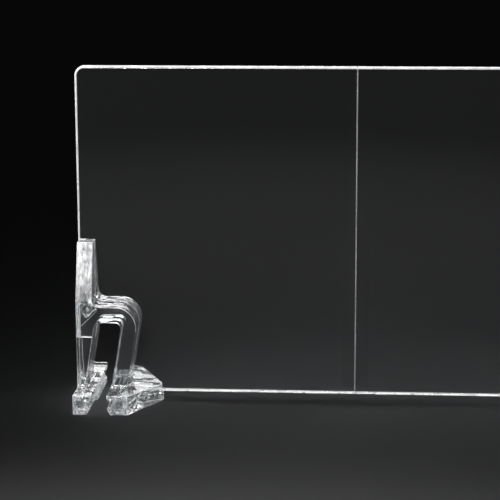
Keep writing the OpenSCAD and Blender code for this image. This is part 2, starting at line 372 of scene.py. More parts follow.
# The feet's ends, off a finely ground face of the tool: an even satin.
GROUND_FACE = ClearPlastic(
    name="acrylic_moulded_ground_face",
    clarity=Stray(0.985, 0.015),
    roughness=Stray(0.12, 0.08),
    mottle_mm=3.0,
    ripple_mm=8.0,
    ripple_depth_mm=0.06,
)
# Moulded edges, rounded in the tool and a little scuffed by handling: they catch the light as
# thin bright lines.
SCUFFED_EDGE = ClearPlastic(
    name="acrylic_moulded_edge_scuffed",
    clarity=Stray(0.65, 0.25),
    roughness=Stray(0.3, 0.1),
    mottle_mm=2.5,
    ripple_mm=2.0,
    ripple_depth_mm=0.03,
    colour="#F8F9FA",
)
# The post's sloped front, which the tool's texture leaves frosted: hazy, bright and blotchy. It
# clears towards the post's foot, where the texture runs out.
FROSTED_FACE = ClearPlastic(
    name="acrylic_moulded_frosted",
    clarity=Stray(0.5, 0.45),
    roughness=Stray(0.28, 0.2),
    mottle_mm=2.4,
    ripple_mm=1.2,
    ripple_depth_mm=0.1,
    colour="#FFFFFF",
    shade="#C8C9CA",
    stretch=6.0,
    frost_mm=(101.0, 119.0),
)
# Polypropylene film, cast on a chill roll and bonded down: the glue joins it optically to the
# sheet, so its index is what is left over, and only its outer skin and edges show.
HINGE_FILM = ClearPlastic(
    name="polypropylene_film_bonded",
    clarity=Stray(1.0),
    roughness=Stray(0.02, 0.01),
    mottle_mm=20.0,
    ripple_mm=18.0,
    ripple_depth_mm=0.005,
    colour="#F7F8F8",
    ior=1.015,
    shade="#FFFFFF",
)
# Silicone pad, moulded: soft, translucent and a little milky, with a dulled surface.
SILICONE = ClearPlastic(
    name="silicone_moulded_translucent",
    clarity=Stray(0.82, 0.1),
    roughness=Stray(0.3, 0.06),
    mottle_mm=3.0,
    ripple_mm=1.2,
    ripple_depth_mm=0.03,
    colour="#EDEFF0",
    ior=1.41,
    shade="#D8DADB",
)
# Polyurethane bumper, cast: clearer than silicone, with a soft sheen.
POLYURETHANE = ClearPlastic(
    name="polyurethane_cast_bumper",
    clarity=Stray(0.94, 0.03),
    roughness=Stray(0.2, 0.05),
    mottle_mm=2.0,
    ripple_mm=1.5,
    ripple_depth_mm=0.02,
    colour="#EAECEC",
    ior=1.5,
    shade="#D4D6D7",
)
# Polycarbonate screws and nuts, moulded: almost clear, with fine draw marks.
POLYCARBONATE = ClearPlastic(
    name="polycarbonate_moulded",
    clarity=Stray(0.97, 0.03),
    roughness=Stray(0.06, 0.04),
    mottle_mm=2.5,
    ripple_mm=1.5,
    ripple_depth_mm=0.05,
    colour="#F1F3F4",
    ior=1.58,
    shade="#E2E4E5",
)
# Polycarbonate cap, moulded against a spark-eroded tool: lightly frosted, with an even grain
# that is drawn coarser than the real one, to show.
FROSTED_CAP = ClearPlastic(
    name="polycarbonate_frosted",
    clarity=Stray(0.95, 0.04),
    roughness=Stray(0.22, 0.1),
    mottle_mm=1.6,
    ripple_mm=1.0,
    ripple_depth_mm=0.02,
    colour="#E9EBEC",
    ior=1.58,
    shade="#D2D4D5",
)


# ---- mesh helpers


def new_object(name: str, data: bpy.types.ID) -> bpy.types.Object:
    """Links a new object that holds a mesh, lamp or camera."""
    made = bpy.data.objects.new(name, data)
    bpy.context.scene.collection.objects.link(made)
    return made


def settle(piece: bpy.types.Object, side: Side, node: str) -> None:
    """Hands a finished piece to the frame and logs it.

    Args:
        piece: The piece, with its place in its mesh.
        side: The wing that it rides on.
        node: The CAD node that it stands for.
    """
    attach(piece, side.body)
    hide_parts(node)
    LOG.info("%s: %d faces on %s", piece.name, len(piece.data.polygons), side.body)


def outer_middle(box: Box, facing: Facing) -> Vector:
    """Finds the middle of the face of a box that looks one way.

    Args:
        box: Its lowest and highest corner.
        facing: The way that the face looks.

    Returns:
        The face's middle.
    """
    axis, end = {Facing.FRONT: (1, 0), Facing.BACK: (1, 1), Facing.DOWN: (2, 0)}[facing]
    middle = (box[0] + box[1]) / 2
    middle[axis] = box[end][axis]
    return middle


def solid_boxes(node: str) -> list[Box]:
    """Boxes of the separate solids in a CAD node.

    Args:
        node: The CAD node's name.

    Returns:
        The lowest and highest corner of each solid, sorted from front to back and then along X.
    """
    shell = bmesh.new()
    shell.from_mesh(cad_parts[node].data)
    bmesh.ops.remove_doubles(shell, verts=shell.verts, dist=0.001 * MM)
    waiting = set(shell.verts)
    boxes = []
    while waiting:
        front = [waiting.pop()]
        corners = []
        while front:
            vertex = front.pop()
            corners.append(vertex.co.copy())
            near = {edge.other_vert(vertex) for edge in vertex.link_edges} & waiting
            waiting -= near
            front.extend(near)
        low = Vector(map(min, zip(*corners)))
        high = Vector(map(max, zip(*corners)))
        boxes.append((low, high))
    shell.free()
    return sorted(boxes, key=lambda box: (round(box[0].y, 4), box[0].x))


@dataclass(frozen=True)
class RoundedCopy:
    """A CAD node's solid with its sharp edges broken, as a mould or a polisher leaves them.

    Attributes:
        break_mm: Radius that the sharp edges are rounded to.
        steps: Faces across each rounded edge.
        inset_mm: How far the whole surface is drawn in, where the solid is bonded to another.
        sharp_deg: Angle from which an edge counts as sharp.
        flat_deg: Angle below which faces are joined into one.
        merge_mm: Distance within which points are taken as one.
        trials: Most times that crowded edges are looked for.
        rounds: Most times that folded slivers are looked for.
    """

    break_mm: float
    steps: int = 3
    inset_mm: float = 0.0
    sharp_deg: float = 33.0
    flat_deg: float = 0.6
    merge_mm: float = 0.03
    trials: int = 4
    rounds: int = 60

    def make(
        self,
        node: str,
        name: str,
        finishes: list[bpy.types.Material],
        pick: Callable[[bpy.types.MeshPolygon], int] | None = None,
    ) -> bpy.types.Object:
        """Copies a node and rounds the copy.

        Args:
            node: The CAD node's name.
            name: The new piece's name.
            finishes: Its materials: the faces' first, and then the broken edges'.
            pick: Gives the place of a face's finish in that list, or the first where None.

        Returns:
            The piece, with its place in its mesh.
        """
        shell = self.merged(node)
        marked = self.breakable(shell)
        weight = shell.edges.layers.float.new("bevel_weight_edge")
        for line in shell.edges:
            crisp = line.calc_face_angle(0.0) > math.radians(self.sharp_deg)
            line[weight] = float(line.index in marked)
            line.smooth = line.index in marked or not crisp
        mesh = bpy.data.meshes.new(name)
        shell.to_mesh(mesh)
        shell.free()
        for finish in finishes:
            mesh.materials.append(finish)
        if pick:
            for face in mesh.polygons:
                face.material_index = pick(face)
        piece = new_object(name, mesh)
        bevel = piece.modifiers.new("edge_break", "BEVEL")
        bevel.material = 1 if len(finishes) > 1 else -1
        bevel.width = self.break_mm * MM
        bevel.segments = self.steps
        bevel.limit_method = "WEIGHT"
        bevel.use_clamp_overlap = False
        applied(piece)
        low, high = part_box(node)
        for vertex in piece.data.vertices:
            bounded = (min(max(c, a), b) for c, a, b in zip(vertex.co, low, high))
            vertex.co = Vector(bounded)
        self.unfold(piece.data)
        flat = piece.modifiers.new("flat_faces", "WEIGHTED_NORMAL")
        flat.keep_sharp = True
        return applied(piece)

    def unfold(self, mesh: bpy.types.Mesh) -> None:
        """Takes out the slivers that the bevel folded over, by closing short sides near them.

        Args:
            mesh: The bevelled mesh, which is left in triangles and still closed.
        """
        shell = bmesh.new()
        shell.from_mesh(mesh)
        bmesh.ops.triangulate(shell, faces=shell.faces)
        for _ in range(self.rounds):
            shell.verts.index_update()
            shell.edges.index_update()
            welds = self.welds(shell)
            if not welds:
                break
            bmesh.ops.weld_verts(shell, targetmap=welds)
        shell.to_mesh(mesh)
        shell.free()

    def welds(self, shell: bmesh.types.BMesh) -> dict[bmesh.types.BMVert, bmesh.types.BMVert]:
        """Picks short sides beside the folds that can be closed without opening the shell.

        Args:
            shell: The closed shell, in triangles.

        Returns:
            The vertices to move, each with the vertex that it is welded to.
        """
        busy: set[bmesh.types.BMVert] = set()
        picked = {}
        short = 2 * self.break_mm * MM
        for fold in shell.edges:
            if fold.calc_face_angle(0.0) < FOLDED:
                continue
            sides = {side for face in fold.link_faces for side in face.edges}
            for side in sorted(sides, key=lambda e: (round(e.calc_length(), 9), e.index)):
                if side.calc_length() > short:
                    break
                near = [{e.other_vert(v) for e in v.link_edges} for v in side.verts]
                if len(near[0] & near[1]) == 2 and not (near[0] | near[1]) & busy:
                    # The end with the larger faces stays, so that they stay flat.
                    moved, kept = sorted(
                        side.verts,
                        key=lambda v: (round(sum(f.calc_area() for f in v.link_faces), 12), v.index),
                    )
                    picked[moved] = kept
                    busy |= near[0] | near[1]
                    break
        return picked

    def merged(self, node: str) -> bmesh.types.BMesh:
        """Copies a node's loose triangles, joined into flat faces.

        Args:
            node: The CAD node's name.

        Returns:
            A closed shell, drawn in by the inset.
        """
        shell = bmesh.new()
        shell.from_mesh(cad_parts[node].data)
        bmesh.ops.remove_doubles(shell, verts=shell.verts, dist=self.merge_mm * MM)
        bmesh.ops.dissolve_degenerate(shell, dist=self.merge_mm * MM, edges=shell.edges)
        flat = math.radians(self.flat_deg)
        bmesh.ops.dissolve_limit(shell, angle_limit=flat, verts=shell.verts, edges=shell.edges)
        shell.normal_update()
        moves = [(v, v.normal * self.inset_mm * MM) for v in shell.verts]
        for vertex, move in moves:
            vertex.co -= move
        for face in shell.faces:
            face.smooth = True
        shell.edges.index_update()
        shell.edges.ensure_lookup_table()
        return shell

    def breakable(self, shell: bmesh.types.BMesh) -> set[int]:
        """Finds the sharp edges that have room for the break.

        Args:
            shell: The closed shell.

        Returns:
            The edges' indices. Where a trial break folds over, the edges near it stay sharp.
        """
        sharp = math.radians(self.sharp_deg)
        marked = {edge.index for edge in shell.edges if edge.calc_face_angle(0.0) > sharp}
        for _ in range(self.trials):
            trial = shell.copy()
            trial.edges.ensure_lookup_table()
            bmesh.ops.bevel(
                trial,
                geom=[trial.edges[index] for index in marked],
                offset=self.break_mm * MM,
                segments=self.steps,
                profile=0.5,
                affect="EDGES",
            )
            bmesh.ops.triangulate(trial, faces=trial.faces)
            folds = [
                (edge.verts[0].co + edge.verts[1].co) / 2
                for edge in trial.edges
                if edge.calc_face_angle(0.0) > FOLDED
            ]
            trial.free()
            crowded = {i for i in marked if self.touches(shell.edges[i], folds)}
            if not crowded:
                break
            marked -= crowded
        return marked

    def touches(self, edge: bmesh.types.BMEdge, points: list[Vector]) -> bool:
        """Tells whether an edge runs close to any point, with a margin over the break.

        Args:
            edge: The edge.
            points: The points.

        Returns:
            True where one of them is within the break's reach.
        """
        start, end = (vertex.co for vertex in edge.verts)
        reach = 1.2 * self.break_mm * MM
        for point in points:
            share = intersect_point_line(point, start, end)[1]
            nearest = start.lerp(end, min(max(share, 0.0), 1.0))
            if (nearest - point).length < reach:
                return True
        return False


def applied(piece: bpy.types.Object) -> bpy.types.Object:
    """Turns a piece's modifiers into its plain mesh.

    Args:
        piece: The piece.

    Returns:
        The piece, with no modifiers left.
    """
    depsgraph = bpy.context.evaluated_depsgraph_get()
    mesh = bpy.data.meshes.new_from_object(piece.evaluated_get(depsgraph), depsgraph=depsgraph)
    piece.modifiers.clear()
    piece.data = mesh
    return piece


# ---- grown pieces


@dataclass(frozen=True)
class Anchor:
    """Where a repeated piece stands.

    Attributes:
        middle: Middle of its outer face.
        facing: The way that face looks.
        width: Its diameter, where the part is drawn 1 across, or else 1.
    """

    middle: Vector
    facing: Facing
    width: float = 1.0


class GrownPiece:
    """A Geometry Nodes tree that makes one small part and sets a copy on each anchor.

    A part is drawn along -Z with its outer face at Z = 0, and each copy is laid so that the
    face looks the anchor's way.
    """

    def __init__(self, name: str) -> None:
        """Starts the tree.

        Args:
            name: The tree's name.
        """
        self.tree = bpy.data.node_groups.new(name, "GeometryNodeTree")
        interface = self.tree.interface
        interface.new_socket("Geometry", in_out="INPUT", socket_type="NodeSocketGeometry")
        interface.new_socket("Geometry", in_out="OUTPUT", socket_type="NodeSocketGeometry")
        interface.new_socket("Finish", in_out="INPUT", socket_type="NodeSocketMaterial")
        self.given = self.tree.nodes.new("NodeGroupInput")

    def size(self, name: str) -> bpy.types.NodeSocket:
        """Adds a named length to the tree's inputs and returns the socket that gives it."""
        self.tree.interface.new_socket(name, in_out="INPUT", socket_type="NodeSocketFloat")
        return self.given.outputs[name]

    def finish(self, part: bpy.types.Node) -> None:
        """Sets the part on every anchor and ends the tree.

        Args:
            part: The node that gives the part's geometry.
        """
        add = partial(add_node, self.tree)
        points, finish = self.given.outputs["Geometry"], self.given.outputs["Finish"]
        turn = add("GeometryNodeInputNamedAttribute", {"data_type": "FLOAT_VECTOR"}, {0: "turn"})
        width = add("GeometryNodeInputNamedAttribute", {"data_type": "FLOAT"}, {0: "width"})
        scale = add("ShaderNodeCombineXYZ", links={0: width, 1: width, 2: 1.0})
        set_out = add(
            "GeometryNodeInstanceOnPoints",
            links={"Points": points, "Instance": part, "Rotation": turn, "Scale": scale},
        )
        real = add("GeometryNodeRealizeInstances", links={0: set_out})
        dressed = add("GeometryNodeSetMaterial", links={"Geometry": real, "Material": finish})
        add("NodeGroupOutput", links={0: dressed})

    def grow(
        self,
        name: str,
        anchors: list[Anchor],
        material: bpy.types.Material,
        sizes: dict[str, float],
    ) -> bpy.types.Object:
        """Grows the part on its anchors.

        Args:
            name: The new piece's name.
            anchors: Where the copies stand.
            material: Their finish.
            sizes: The tree's named lengths, in metres.

        Returns:
            One plain mesh object that holds every copy.
        """
        mesh = bpy.data.meshes.new(name)
        mesh.from_pydata([anchor.middle for anchor in anchors], [], [])
        turns = [turn for anchor in anchors for turn in anchor.facing.value]
        widths = [anchor.width for anchor in anchors]
        mesh.attributes.new("turn", "FLOAT_VECTOR", "POINT").data.foreach_set("vector", turns)
        mesh.attributes.new("width", "FLOAT", "POINT").data.foreach_set("value", widths)
        piece = new_object(name, mesh)
        grower = piece.modifiers.new("grow", "NODES")
        grower.node_group = self.tree
        given = {**sizes, "Finish": material}
        for item in self.tree.interface.items_tree:
            if item.in_out == "INPUT" and item.name in given:
                grower[item.identifier] = given[item.name]
        applied(piece)
        piece.data.materials.clear()
        piece.data.materials.append(material)
        piece.data.shade_smooth()
        piece.data.set_sharp_from_angle(angle=CRISP)
        return piece


def disc_tree() -> GrownPiece:
    """A turned disc of unit width with a flat or dished outer face: a desk pad or end cap.

    Returns:
        The tree, with the sizes Thickness, Dish and Rim, where Rim is a share of the width.
    """
    grown = GrownPiece("turned_disc")
    add = partial(add_node, grown.tree)
    thickness, dish, rim = grown.size("Thickness"), grown.size("Dish"), grown.size("Rim")
    # As shares of the width: how far the dish takes to rise to its rim, and where the edge turns.
    rise, edge = 0.04, 0.46
    blank = add(
        "GeometryNodeMeshCylinder",
        {"fill_type": "TRIANGLE_FAN"},
        {"Vertices": 48, "Side Segments": 4, "Fill Segments": 18, "Radius": 0.5, "Depth": thickness},
    )
    x, y, z = add("ShaderNodeSeparateXYZ", links={0: add("GeometryNodeInputPosition")}).outputs
    flat = add("ShaderNodeCombineXYZ", links={0: x, 1: y})
    reach = add("ShaderNodeVectorMath", "LENGTH", {0: flat}).outputs["Value"]
    rim_end = add("ShaderNodeMath", "ADD", {0: rim, 1: rise})
    sunk, turned = (
        add(
            "ShaderNodeMapRange",
            {"interpolation_type": "SMOOTHSTEP"},
            {"Value": reach, "From Min": start, "From Max": end, "To Min": first, "To Max": last},
        )
        for start, end, first, last in ((rim, rim_end, dish, 0.0), (edge, 0.5, 0.0, 0.25 * MM))
    )
    drop = add("ShaderNodeMath", "ADD", {0: sunk, 1: turned})
    down = add("ShaderNodeMath", "MULTIPLY", {0: drop, 1: -1.0})
    # Only the points of the outer face, which lies at half the thickness, are moved.
    below = add("ShaderNodeMath", "MULTIPLY", {0: thickness, 1: 0.49})
    on_face = add("FunctionNodeCompare", {"operation": "GREATER_THAN"}, {0: z, 1: below})
    move = add("ShaderNodeCombineXYZ", links={2: down})
    shaped = add(
        "GeometryNodeSetPosition", links={"Geometry": blank, "Selection": on_face, "Offset": move}
    )
    half = add("ShaderNodeMath", "MULTIPLY", {0: thickness, 1: -0.5})
    back = add("ShaderNodeCombineXYZ", links={2: half})
    grown.finish(add("GeometryNodeTransform", links={"Geometry": shaped, "Translation": back}))
    return grown


def screw_tree() -> GrownPiece:
    """A socket-head screw with a rolled thread on the end of its shank.

    Returns:
        The tree, with the sizes Head Width, Head Height, Shank Width, Length, Thread Length,
        Pitch, Thread Depth, Chamfer and Socket Width.
    """
    grown = GrownPiece("socket_screw")
    tree = grown.tree
    add = partial(add_node, tree)
    head_width, head_height = grown.size("Head Width"), grown.size("Head Height")
    shank_width, length = grown.size("Shank Width"), grown.size("Length")
    thread_length, pitch = grown.size("Thread Length"), grown.size("Pitch")
    depth, chamfer = grown.size("Thread Depth"), grown.size("Chamfer")
    socket_width = grown.size("Socket Width")
    head = chamfered_disc(tree, head_width, head_height, chamfer)
    # The shank is drawn 1 long: its first ring is its plain part, and the rest are the thread.
    rings = 96
    # Share of the thread's length at which its tip starts to be chamfered.
    tip_start = 0.96
    radius = add("ShaderNodeMath", "MULTIPLY", {0: shank_width, 1: 0.5})
    blank = add(
        "GeometryNodeMeshCylinder",
        links={"Vertices": 24, "Side Segments": rings, "Radius": radius, "Depth": 1.0},
    )
    x, y, z = add("ShaderNodeSeparateXYZ", links={0: add("GeometryNodeInputPosition")}).outputs
    along = add("ShaderNodeMath", "SUBTRACT", {0: 0.5, 1: z})
    plain_length = add("ShaderNodeMath", "SUBTRACT", {0: length, 1: thread_length})
    plain = add(
        "ShaderNodeMapRange",
        links={"Value": along, "From Max": 1 / rings, "To Max": plain_length},
    )
    threaded = add(
        "ShaderNodeMapRange",
        links={"Value": along, "From Min": 1 / rings, "To Max": thread_length},
    )
    sunk = add("ShaderNodeMath", "ADD", {0: plain, 1: threaded})
    # The shank starts inside the head, so that the two join through their walls.
    start = add("ShaderNodeMath", "MULTIPLY", {0: head_height, 1: -SHANK_START})
    height = add("ShaderNodeMath", "SUBTRACT", {0: start, 1: sunk})
    # The ridge rises and falls once a turn, and runs out over the thread's first pitch.
    angle = add("ShaderNodeMath", "ARCTAN2", {0: y, 1: x})
    turns = add("ShaderNodeMath", "DIVIDE", {0: angle, 1: 2 * math.pi})
    pitches = add("ShaderNodeMath", "DIVIDE", {0: sunk, 1: pitch})
    phase = add("ShaderNodeMath", "ADD", {0: turns, 1: pitches})
    ridge = add("ShaderNodeMath", "PINGPONG", {0: phase, 1: 0.5})
    runout = add("ShaderNodeMapRange", links={"Value": threaded, "From Max": pitch, "To Max": 2.0})
    bite = add("ShaderNodeMath", "MULTIPLY", {0: ridge, 1: runout})
    groove = add("ShaderNodeMath", "MULTIPLY", {0: bite, 1: depth})
    tip = add(
        "ShaderNodeMapRange", links={"Value": along, "From Min": tip_start, "To Max": chamfer}
    )
    cut = add("ShaderNodeMath", "MAXIMUM", {0: groove, 1: tip})
    left = add("ShaderNodeMath", "SUBTRACT", {0: radius, 1: cut})
    share = add("ShaderNodeMath", "DIVIDE", {0: left, 1: radius})
    flat = add("ShaderNodeCombineXYZ", links={0: x, 1: y})
    drawn_in = add("ShaderNodeVectorMath", "SCALE", {0: flat, "Scale": share})
    lift = add("ShaderNodeCombineXYZ", links={2: height})
    put = add("ShaderNodeVectorMath", "ADD", {0: drawn_in, 1: lift})
    shank = add("GeometryNodeSetPosition", links={"Geometry": blank, "Position": put})
    whole = add(
        "GeometryNodeMeshBoolean",
        {"operation": "UNION", "solver": "MANIFOLD"},
        {"Mesh 2": [head, shank]},
    )
    driven = add(
        "GeometryNodeMeshBoolean",
        {"operation": "DIFFERENCE", "solver": "MANIFOLD"},
        {"Mesh 1": whole, "Mesh 2": hexagon(tree, socket_width, socket_width)},
    )
    grown.finish(driven)
    return grown


def nut_tree() -> GrownPiece:
    """A hexagonal nut with chamfered corners.

    Returns:
        The tree, with the sizes Flats, Height, Bore and Chamfer.
    """
    grown = GrownPiece("hexagon_nut")
    tree = grown.tree
    add = partial(add_node, tree)
    flats, height = grown.size("Flats"), grown.size("Height")
    bore, chamfer = grown.size("Bore"), grown.size("Chamfer")
    tall = add("ShaderNodeMath", "MULTIPLY", {0: height, 1: 2.0})
    # A hair wider than the corners, so that the disc's wall clears them.
    wide = 2.03 / math.sqrt(3)
    across = add("ShaderNodeMath", "MULTIPLY", {0: flats, 1: wide})
    blank = add(
        "GeometryNodeMeshBoolean",
        {"operation": "INTERSECT", "solver": "MANIFOLD"},
        {"Mesh 2": [hexagon(tree, flats, tall), chamfered_disc(tree, across, height, chamfer)]},
    )
    radius = add("ShaderNodeMath", "MULTIPLY", {0: bore, 1: 0.5})
    drill = add("GeometryNodeMeshCylinder", links={"Vertices": 32, "Radius": radius, "Depth": 1.0})
    drilled = add(
        "GeometryNodeMeshBoolean",
        {"operation": "DIFFERENCE", "solver": "MANIFOLD"},
        {"Mesh 1": blank, "Mesh 2": drill},
    )
    grown.finish(drilled)
    return grown


def chamfered_disc(
    tree: bpy.types.NodeTree, width: Feed, height: Feed, chamfer: Feed
) -> bpy.types.Node:
    """Adds a turned disc that hangs from Z = 0, with its outer rim chamfered.

    Args:
        tree: The geometry tree.
        width: Its diameter.
        height: Its height.
        chamfer: Width of its chamfer.

    Returns:
        The node that gives the disc's geometry.
    """
    add = partial(add_node, tree)
    radius = add("ShaderNodeMath", "MULTIPLY", {0: width, 1: 0.5})
    small = add("ShaderNodeMath", "SUBTRACT", {0: radius, 1: chamfer})
    low = add("ShaderNodeMath", "SUBTRACT", {0: height, 1: chamfer})
    half = add("ShaderNodeMath", "MULTIPLY", {0: low, 1: -0.5})
    wall_drop = add("ShaderNodeMath", "SUBTRACT", {0: half, 1: chamfer})
    rim_drop = add("ShaderNodeMath", "MULTIPLY", {0: chamfer, 1: -1.0})
    wall = add("GeometryNodeMeshCylinder", links={"Vertices": 48, "Radius": radius, "Depth": low})
    rim = add(
        "GeometryNodeMeshCone",
        links={"Vertices": 48, "Radius Top": small, "Radius Bottom": radius, "Depth": chamfer},
    )
    hung = [
        add(
            "GeometryNodeTransform",
            links={"Geometry": part, "Translation": add("ShaderNodeCombineXYZ", links={2: drop})},
        )
        for part, drop in ((wall, wall_drop), (rim, rim_drop))
    ]
    return add(
        "GeometryNodeMeshBoolean", {"operation": "UNION", "solver": "MANIFOLD"}, {"Mesh 2": hung}
    )


def hexagon(tree: bpy.types.NodeTree, flats: Feed, depth: Feed) -> bpy.types.Node:
    """Adds a hexagonal prism centred on the origin.

    Args:
        tree: The geometry tree.
        flats: Its width across its flats.
        depth: Its whole height, half of it below Z = 0.

    Returns:
        The node that gives the prism's geometry.
    """
    add = partial(add_node, tree)
    radius = add("ShaderNodeMath", "MULTIPLY", {0: flats, 1: 1 / math.sqrt(3)})
    prism = add("GeometryNodeMeshCylinder", links={"Vertices": 6, "Radius": radius, "Depth": depth})
    # Turned so that two of its flats are upright once it lies front to back.
    upright = (0.0, 0.0, math.pi / 6)
    return add("GeometryNodeTransform", links={"Geometry": prism, "Rotation": upright})


# ---- the panel's parts


@dataclass(frozen=True)
class SheetWing:
    """One clear sheet and the film on the back of its fold edge.

    Attributes:
        side: The end of the panel that it makes.
        edge_break_mm: Radius that the cut edges are buffed to.
        film_break_mm: Radius of the film's edges.
        bond_mm: Gap drawn between the sheet and the film bonded to it.
        face_share: Least share of a normal that points front or back on the sheet's faces.
    """

    side: Side
    edge_break_mm: float = 0.25
    film_break_mm: float = 0.04
    bond_mm: float = 0.02
    face_share: float = 0.96

    def build(self) -> None:
        """Builds the sheet and its film."""
        name = self.side.value
        sheet = RoundedCopy(self.edge_break_mm).make(
            f"sheet_{name}",
            f"clear_sheet_{name}",
            [CAST_ACRYLIC.material(), SATIN_EDGE.material()],
            self.finish_of,
        )
        settle(sheet, self.side, f"sheet_{name}")
        film = RoundedCopy(break_mm=self.film_break_mm, steps=1, inset_mm=self.bond_mm).make(
            f"hinge_film_{name}", f"fold_film_{name}", [HINGE_FILM.material()]
        )
        settle(film, self.side, f"hinge_film_{name}")

    def finish_of(self, face: bpy.types.MeshPolygon) -> int:
        """Picks the clear finish for the sheet's faces and the buffed one for its edges."""
        return int(abs(face.normal.y) < self.face_share)


@dataclass(frozen=True)
class MouldedSkin:
    """Picks the finish of each face of a bracket half.

    Attributes:
        foot_end: Distance of the feet's ends from the sheet's middle.
        post_foot: Height above which only the post stands.
        slot_head: Height above which a face that looks down is the roof of the slot.
        foot_top: Height below which a side is one of the feet's.
        square_share: Least share of a normal that points front or back on a square-on face.
        slope_share: Its least share on the post's sloped front.
        down_share: Least share of a normal that points down on the slot's roof.
    """

    foot_end: float
    post_foot: float
    slot_head: float
    foot_top: float
    square_share: float = 0.97
    slope_share: float = 0.9
    down_share: float = 0.5

    def __call__(self, face: bpy.types.MeshPolygon) -> int:
        """Picks a moulded face's finish.

        Args:
            face: The face, before its edges are broken.

        Returns:
            The place of the finish in the bracket's material slots.
        """
        share, height = abs(face.normal.y), face.center.z
        if self.slope_share < share < self.square_share and height > self.post_foot:
            return Skin.FROSTED.value
        if abs(abs(face.center.y) - self.foot_end) < 1 * MM:
            return Skin.GROUND.value
        if share > self.square_share:
            return Skin.POLISHED.value
        slot_roof = face.normal.z < -self.down_share and height > self.slot_head
        return (Skin.FLOW_MARKED if slot_roof or height < self.foot_top else Skin.SIDE).value


